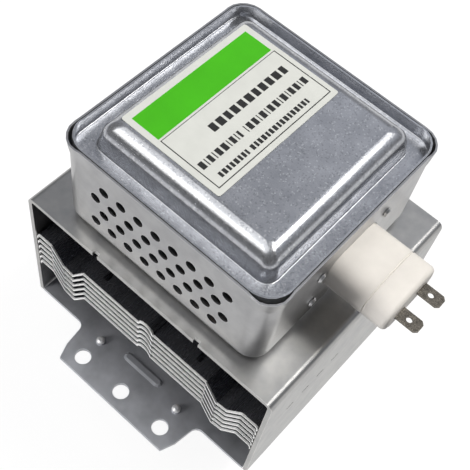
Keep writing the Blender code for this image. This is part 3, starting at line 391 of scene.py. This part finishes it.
zinc = sheet_metal("zinc_sheet", (0.42, 0.42, 0.43), (0.51, 0.51, 0.515), roughness=0.29, metallic=0.92,
                   grain=1.4, bump=0.000002, edge=0.0004, uneven=0.015)
yoke_zinc = sheet_metal("yoke_zinc", (0.43, 0.43, 0.43), (0.55, 0.545, 0.53), roughness=0.30, metallic=0.90,
                        grain=1.8, bump=0.000002, edge=0.0004, uneven=0.015, mask=painted_slit_shade)
plate_zinc = sheet_metal("plate_zinc", (0.42, 0.43, 0.46), (0.60, 0.61, 0.65), roughness=0.32, metallic=0.62,
                         blotch=9.0, grain=1.4, bump=0.000002, edge=0.0003, uneven=0.02, mask=rubbed_and_highlit_tops)
lid_zinc = sheet_metal("lid_zinc", (0.51, 0.52, 0.55), (0.66, 0.67, 0.70), roughness=0.23, metallic=0.92,
                       specks=0.45, bump=0.000003, edge=0.0002, uneven=0.03)
# The fins' dark colours are painted shade inside the stack, and their white front rims are painted light
fin_shaded_metal = sheet_metal("fin_painted_shade_and_light", (0.17, 0.175, 0.20), (0.27, 0.275, 0.305), roughness=0.27, metallic=0.92,
                        stretch=(1.0, 0.12, 1.0), bump=0.0, uneven=0.02, rim_light=RIM_PAINTED_LIGHT)
copper = sheet_metal("copper_bare", (0.62, 0.30, 0.17), (0.80, 0.45, 0.28), roughness=0.34, metallic=0.95)
pole_steel = sheet_metal("pole_steel", (0.45, 0.46, 0.48), (0.60, 0.61, 0.63), roughness=0.38, metallic=0.95)
can_steel = sheet_metal("can_steel", (0.55, 0.55, 0.55), (0.70, 0.70, 0.69), roughness=0.26, metallic=0.95)
knit = sheet_metal("knitted_wire", (0.22, 0.21, 0.20), (0.72, 0.70, 0.66), roughness=0.45, metallic=0.9,
                   blotch=0.5, grain=0.4, bump=0.0003)
molybdenum = sheet_metal("molybdenum", (0.36, 0.37, 0.39), (0.50, 0.51, 0.53), roughness=0.40, metallic=0.95)
tungsten = sheet_metal("tungsten", (0.22, 0.22, 0.24), (0.34, 0.34, 0.36), roughness=0.45, metallic=0.95)
blade_metal = sheet_metal("blade_metal", (0.11, 0.10, 0.085), (0.22, 0.20, 0.17), roughness=0.26,
                          metallic=0.92, blotch=1.5, bump=0.000003, edge=0.0002)
ferrite = plain("ferrite", (0.055, 0.055, 0.06), roughness=0.72, variation=0.25, blotch=3.0, bump=0.00003)
alumina = plain("alumina", (0.88, 0.80, 0.80), roughness=0.50, variation=0.04)
ivory = plain("ivory_plastic", (0.80, 0.765, 0.72), roughness=0.46, variation=0.04, blotch=6.0, bump=0.00001)
film = plain("label_film", (0.62, 0.63, 0.60), roughness=0.42, variation=0.03, blotch=5.0)
green_ink = plain("green_ink", (0.055, 0.42, 0.006), roughness=0.38, variation=0.05, blotch=9.0)
black_ink = plain("black_ink", (0.018, 0.018, 0.018), roughness=0.45, variation=0.2, blotch=1.0)

# Finish of each node: by its material slot, apart from two nodes with a finish of their own, the yoke's with
# painted shade in its slits and the plate's with boss tops that are partly rubbed and partly a painted
# highlight
BY_SLOT = {
    "galvanised_steel": zinc,
    "lid_steel": lid_zinc,
    "fin_aluminium": fin_shaded_metal,
    "ferrite": ferrite,
    "copper": copper,
    "pole_steel": pole_steel,
    "can_steel": can_steel,
    "alumina": alumina,
    "gasket_wire": knit,
    "molybdenum": molybdenum,
    "tungsten": tungsten,
    "label_film": film,
    "ivory_plastic": ivory,
    "blade_metal": blade_metal,
}
OWN_FINISH = {"mounting_plate": plate_zinc, "yoke": yoke_zinc}
SLOTS = {row["node"]: row["material_slot"] for row in frame["record"]["subparts"]}
for name, node in NODES.items():
    node.data.materials.clear()
    node.data.materials.append(OWN_FINISH.get(name, BY_SLOT[SLOTS[name]]))


# Smooth shading of the nodes
def smoothing(angle):
    """Node group that shades smooth across edges flatter than an angle."""
    group = bpy.data.node_groups.new("smooth_shading", 'GeometryNodeTree')
    group.interface.new_socket("Geometry", in_out='INPUT', socket_type='NodeSocketGeometry')
    group.interface.new_socket("Geometry", in_out='OUTPUT', socket_type='NodeSocketGeometry')
    start = group.nodes.new("NodeGroupInput")
    end = group.nodes.new("NodeGroupOutput")
    weld = group.nodes.new("GeometryNodeMergeByDistance")
    weld.inputs["Distance"].default_value = WELD_DISTANCE
    faces = group.nodes.new("GeometryNodeSetShadeSmooth")
    faces.domain = 'FACE'
    edges = group.nodes.new("GeometryNodeSetShadeSmooth")
    edges.domain = 'EDGE'
    edges.inputs["Shade Smooth"].default_value = False
    bend = group.nodes.new("GeometryNodeInputMeshEdgeAngle")
    sharp = group.nodes.new("FunctionNodeCompare")
    sharp.data_type = 'FLOAT'
    sharp.operation = 'GREATER_THAN'
    sharp.inputs["B"].default_value = angle
    group.links.new(start.outputs[0], weld.inputs["Geometry"])
    group.links.new(weld.outputs[0], faces.inputs["Geometry"])
    group.links.new(faces.outputs[0], edges.inputs["Geometry"])
    group.links.new(bend.outputs["Unsigned Angle"], sharp.inputs["A"])
    group.links.new(sharp.outputs["Result"], edges.inputs["Selection"])
    group.links.new(edges.outputs[0], end.inputs[0])
    return group


smooth_group = smoothing(SHARP_ANGLE)
plate_group = smoothing(PLATE_SHARP_ANGLE)
for name, node in NODES.items():
    corner_normals = node.data.attributes.get("custom_normal")
    if corner_normals:
        node.data.attributes.remove(corner_normals)
    smooth = node.modifiers.new("smooth_shading", 'NODES')
    smooth.node_group = plate_group if name == "mounting_plate" else smooth_group
    even = node.modifiers.new("even_normals", 'WEIGHTED_NORMAL')
    even.mode = 'FACE_AREA_WITH_ANGLE'
    even.weight = FACE_WEIGHT
    even.keep_sharp = True


# Pieces of the label
def piece(name, shape, finish):
    """Object made from a bmesh, which rides on the root body."""
    bmesh.ops.recalc_face_normals(shape, faces=shape.faces[:])
    mesh = bpy.data.meshes.new(name)
    shape.to_mesh(mesh)
    shape.free()
    made = bpy.data.objects.new(name, mesh)
    bpy.context.scene.collection.objects.link(made)
    mesh.materials.append(finish)
    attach(made, "root")
    return made


def slab(shape, outline, low, high):
    """Flat solid over an outline of (x, y) points in metres."""
    lower, upper = [[shape.verts.new((x, y, z)) for x, y in outline] for z in (low, high)]
    count = len(outline)
    for index in range(count):
        after = (index + 1) % count
        shape.faces.new((lower[index], lower[after], upper[after], upper[index]))
    shape.faces.new(list(reversed(lower)))
    shape.faces.new(upper)


def rectangle(x_low, x_high, y_low, y_high):
    """Corners in metres from edges in millimetres."""
    corners = ((x_low, y_low), (x_high, y_low), (x_high, y_high), (x_low, y_high))
    return [(x * MM, y * MM) for x, y in corners]


def rounded_outline(low, high, radius):
    """Outline in metres of a rectangle with round corners, between two corners of a box."""
    outline = []
    for quarter, (side_x, side_y) in enumerate(((1, 1), (-1, 1), (-1, -1), (1, -1))):
        middle_x = (high.x - radius) if side_x > 0 else (low.x + radius)
        middle_y = (high.y - radius) if side_y > 0 else (low.y + radius)
        for step in range(CORNER_STEPS + 1):
            angle = (quarter + step / CORNER_STEPS) * math.pi / 2
            outline.append((middle_x + radius * math.cos(angle), middle_y + radius * math.sin(angle)))
    return outline


def frame_sides(x_low, x_high, y_low, y_high):
    """Edges in millimetres of the four lines of a frame, the one at low x thinner."""
    inner_low = y_low + LINE_WIDTH
    inner_high = y_high - LINE_WIDTH
    return [(x_low, x_high, y_low, inner_low), (x_low, x_high, inner_high, y_high),
            (x_high - LINE_WIDTH, x_high, inner_low, inner_high),
            (x_low, x_low + LINE_WIDTH * THIN_SHARE, inner_low, inner_high)]


def bars(x_low, x_high, y_low, y_high, widths, gap):
    """Edges in millimetres of a row of bars that runs along Y."""
    made = []
    place = y_low
    index = 0
    while place < y_high:
        width = widths[index % len(widths)]
        made.append((x_low, x_high, place, min(place + width, y_high)))
        place += width + gap
        index += 1
    return made


# The film is a hair lower than the node it stands for, so that its print fits inside
label_low, label_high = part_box("rating_label")
film_top = PLATEAU_TOP - PRINT_RISE * MM
shape = bmesh.new()
slab(shape, rounded_outline(label_low, label_high, LABEL_CORNER * MM), label_low.z, film_top)
label = piece("label_film", shape, film)
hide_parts("rating_label")

shape = bmesh.new()
slab(shape, rectangle(*BAND), film_top, PLATEAU_TOP)
piece("label_band", shape, green_ink)

lines = frame_sides(*FRAME_LINE)
for row in BAR_ROWS:
    lines += bars(*row)
shape = bmesh.new()
for line in lines:
    slab(shape, rectangle(*line), film_top, PLATEAU_TOP)
piece("label_print", shape, black_ink)


# Floor
def floor_material():
    """Floor that takes shadows, and glows white for the camera and pale in reflections."""
    made, tree, shader = new_material("floor_white")
    shader.inputs["Roughness"].default_value = FLOOR_ROUGHNESS
    shader.inputs["Specular IOR Level"].default_value = 0.0
    shader.inputs["Emission Color"].default_value = (*WHITE, 1.0)
    rays = tree.nodes.new("ShaderNodeLightPath")
    seen = rays.outputs["Is Camera Ray"]
    reflected = rays.outputs["Is Glossy Ray"]
    direct = calculated(tree, 'MAXIMUM', seen, reflected)
    tree.links.new(blend_colors(tree, direct, FLOOR_BOUNCED, FLOOR_DIRECT), shader.inputs["Base Color"])
    glow = calculated(tree, 'MAXIMUM', spread(tree, seen, 0.0, 1.0, 0.0, CAMERA_GLOW),
                      spread(tree, reflected, 0.0, 1.0, 0.0, REFLECTED_GLOW))
    tree.links.new(glow, shader.inputs["Emission Strength"])
    return made


floor_mesh = bpy.data.meshes.new("floor")
corners = [(-FLOOR_REACH, -FLOOR_REACH, FLOOR_Z), (FLOOR_REACH, -FLOOR_REACH, FLOOR_Z),
           (FLOOR_REACH, FLOOR_REACH, FLOOR_Z), (-FLOOR_REACH, FLOOR_REACH, FLOOR_Z)]
floor_mesh.from_pydata(corners, [], [(0, 1, 2, 3)])
floor_mesh.materials.append(floor_material())
floor = bpy.data.objects.new("floor", floor_mesh)
bpy.context.scene.collection.objects.link(floor)


# Lamps
def light(name, place, size, energy, color=WHITE, mirrored=True):
    """Round lamp aimed at the object; one that isn't mirrored gives no reflection on metal."""
    data = bpy.data.lights.new(name, 'AREA')
    data.shape = 'DISK'
    data.size = size
    data.energy = energy
    data.color = color
    lamp = bpy.data.objects.new(name, data)
    bpy.context.scene.collection.objects.link(lamp)
    lamp.location = place
    lamp.rotation_euler = (Vector(LAMP_TARGET) - Vector(place)).to_track_quat('-Z', 'Y').to_euler()
    lamp.visible_glossy = mirrored


light("key", KEY_PLACE, size=0.24, energy=7.9, color=WARM, mirrored=False)
light("fill", FILL_PLACE, size=0.30, energy=7.6, mirrored=False)
light("key_panel", KEY_PLACE, size=0.50, energy=3.1, color=WARM)
light("overhead", OVERHEAD_PLACE, size=0.84, energy=1.8)
light("front_panel", FRONT_PLACE, size=0.50, energy=1.0, color=WARM)


# World: white to the camera, the room in reflections, and dim for all other light
def background(tree, color):
    """Background shader of one colour or of a colour output."""
    made = tree.nodes.new("ShaderNodeBackground")
    if isinstance(color, tuple):
        made.inputs["Color"].default_value = (*color, 1.0)
    else:
        tree.links.new(color, made.inputs["Color"])
    return made.outputs[0]


def mixed_shader(tree, share, first, second):
    """Mix of two shaders by a share."""
    made = tree.nodes.new("ShaderNodeMixShader")
    for socket, value in zip(made.inputs, (share, first, second)):
        tree.links.new(value, socket)
    return made.outputs[0]


def room_color(tree):
    """Colour of the room by direction, with a paler wall at the rear."""
    where = tree.nodes.new("ShaderNodeTexCoord")
    direction = where.outputs["Generated"]
    height = part_along(tree, direction, "Z")
    made = tree.nodes.new("ShaderNodeValToRGB")
    ramp = made.color_ramp
    ramp.elements[0].position = 0.0
    ramp.elements[0].color = (*ROOM_LEVEL, 1.0)
    ramp.elements[1].position = 1.0
    ramp.elements[1].color = (*ROOM_TOP, 1.0)
    for position, level in ROOM_STOPS:
        stop = ramp.elements.new(position)
        stop.color = (*(level * part for part in ROOM_TINT), 1.0)
    tree.links.new(height, made.inputs["Fac"])
    behind = share_of(tree, part_along(tree, direction, "Y"), *REAR_BEHIND)
    above = share_of(tree, height, *REAR_ABOVE)
    rear = calculated(tree, 'MULTIPLY', behind, above)
    return blend_colors(tree, rear, made.outputs["Color"], REAR_WALL)


world = bpy.data.worlds.new("studio")
bpy.context.scene.world = world
world.use_nodes = True
sky = world.node_tree
sky.nodes.clear()
sky_out = sky.nodes.new("ShaderNodeOutputWorld")
sky_rays = sky.nodes.new("ShaderNodeLightPath")
room = background(sky, room_color(sky))
unseen = mixed_shader(sky, sky_rays.outputs["Is Glossy Ray"], background(sky, DIM_ROOM), room)
seen = mixed_shader(sky, sky_rays.outputs["Is Camera Ray"], unseen, background(sky, WHITE))
sky.links.new(seen, sky_out.inputs["Surface"])

# Camera
back = Vector((math.sin(AZIMUTH) * math.cos(ELEVATION), -math.cos(AZIMUTH) * math.cos(ELEVATION),
               math.sin(ELEVATION)))
level_right = Vector((0.0, 0.0, 1.0)).cross(back).normalized()
level_up = back.cross(level_right)
right = math.cos(ROLL) * level_right + math.sin(ROLL) * level_up
up = -math.sin(ROLL) * level_right + math.cos(ROLL) * level_up
camera_data = bpy.data.cameras.new("camera")
camera_data.lens = LENS
camera_data.sensor_width = SENSOR_WIDTH
camera_data.shift_x, camera_data.shift_y = SHIFT
camera_data.clip_start, camera_data.clip_end = CLIP
camera = bpy.data.objects.new("camera", camera_data)
bpy.context.scene.collection.objects.link(camera)
turn = Matrix((right, up, back)).transposed().to_4x4()
camera.matrix_world = Matrix.Translation(CAMERA_PLACE) @ turn
bpy.context.scene.camera = camera

bpy.context.scene.view_settings.view_transform = 'Standard'
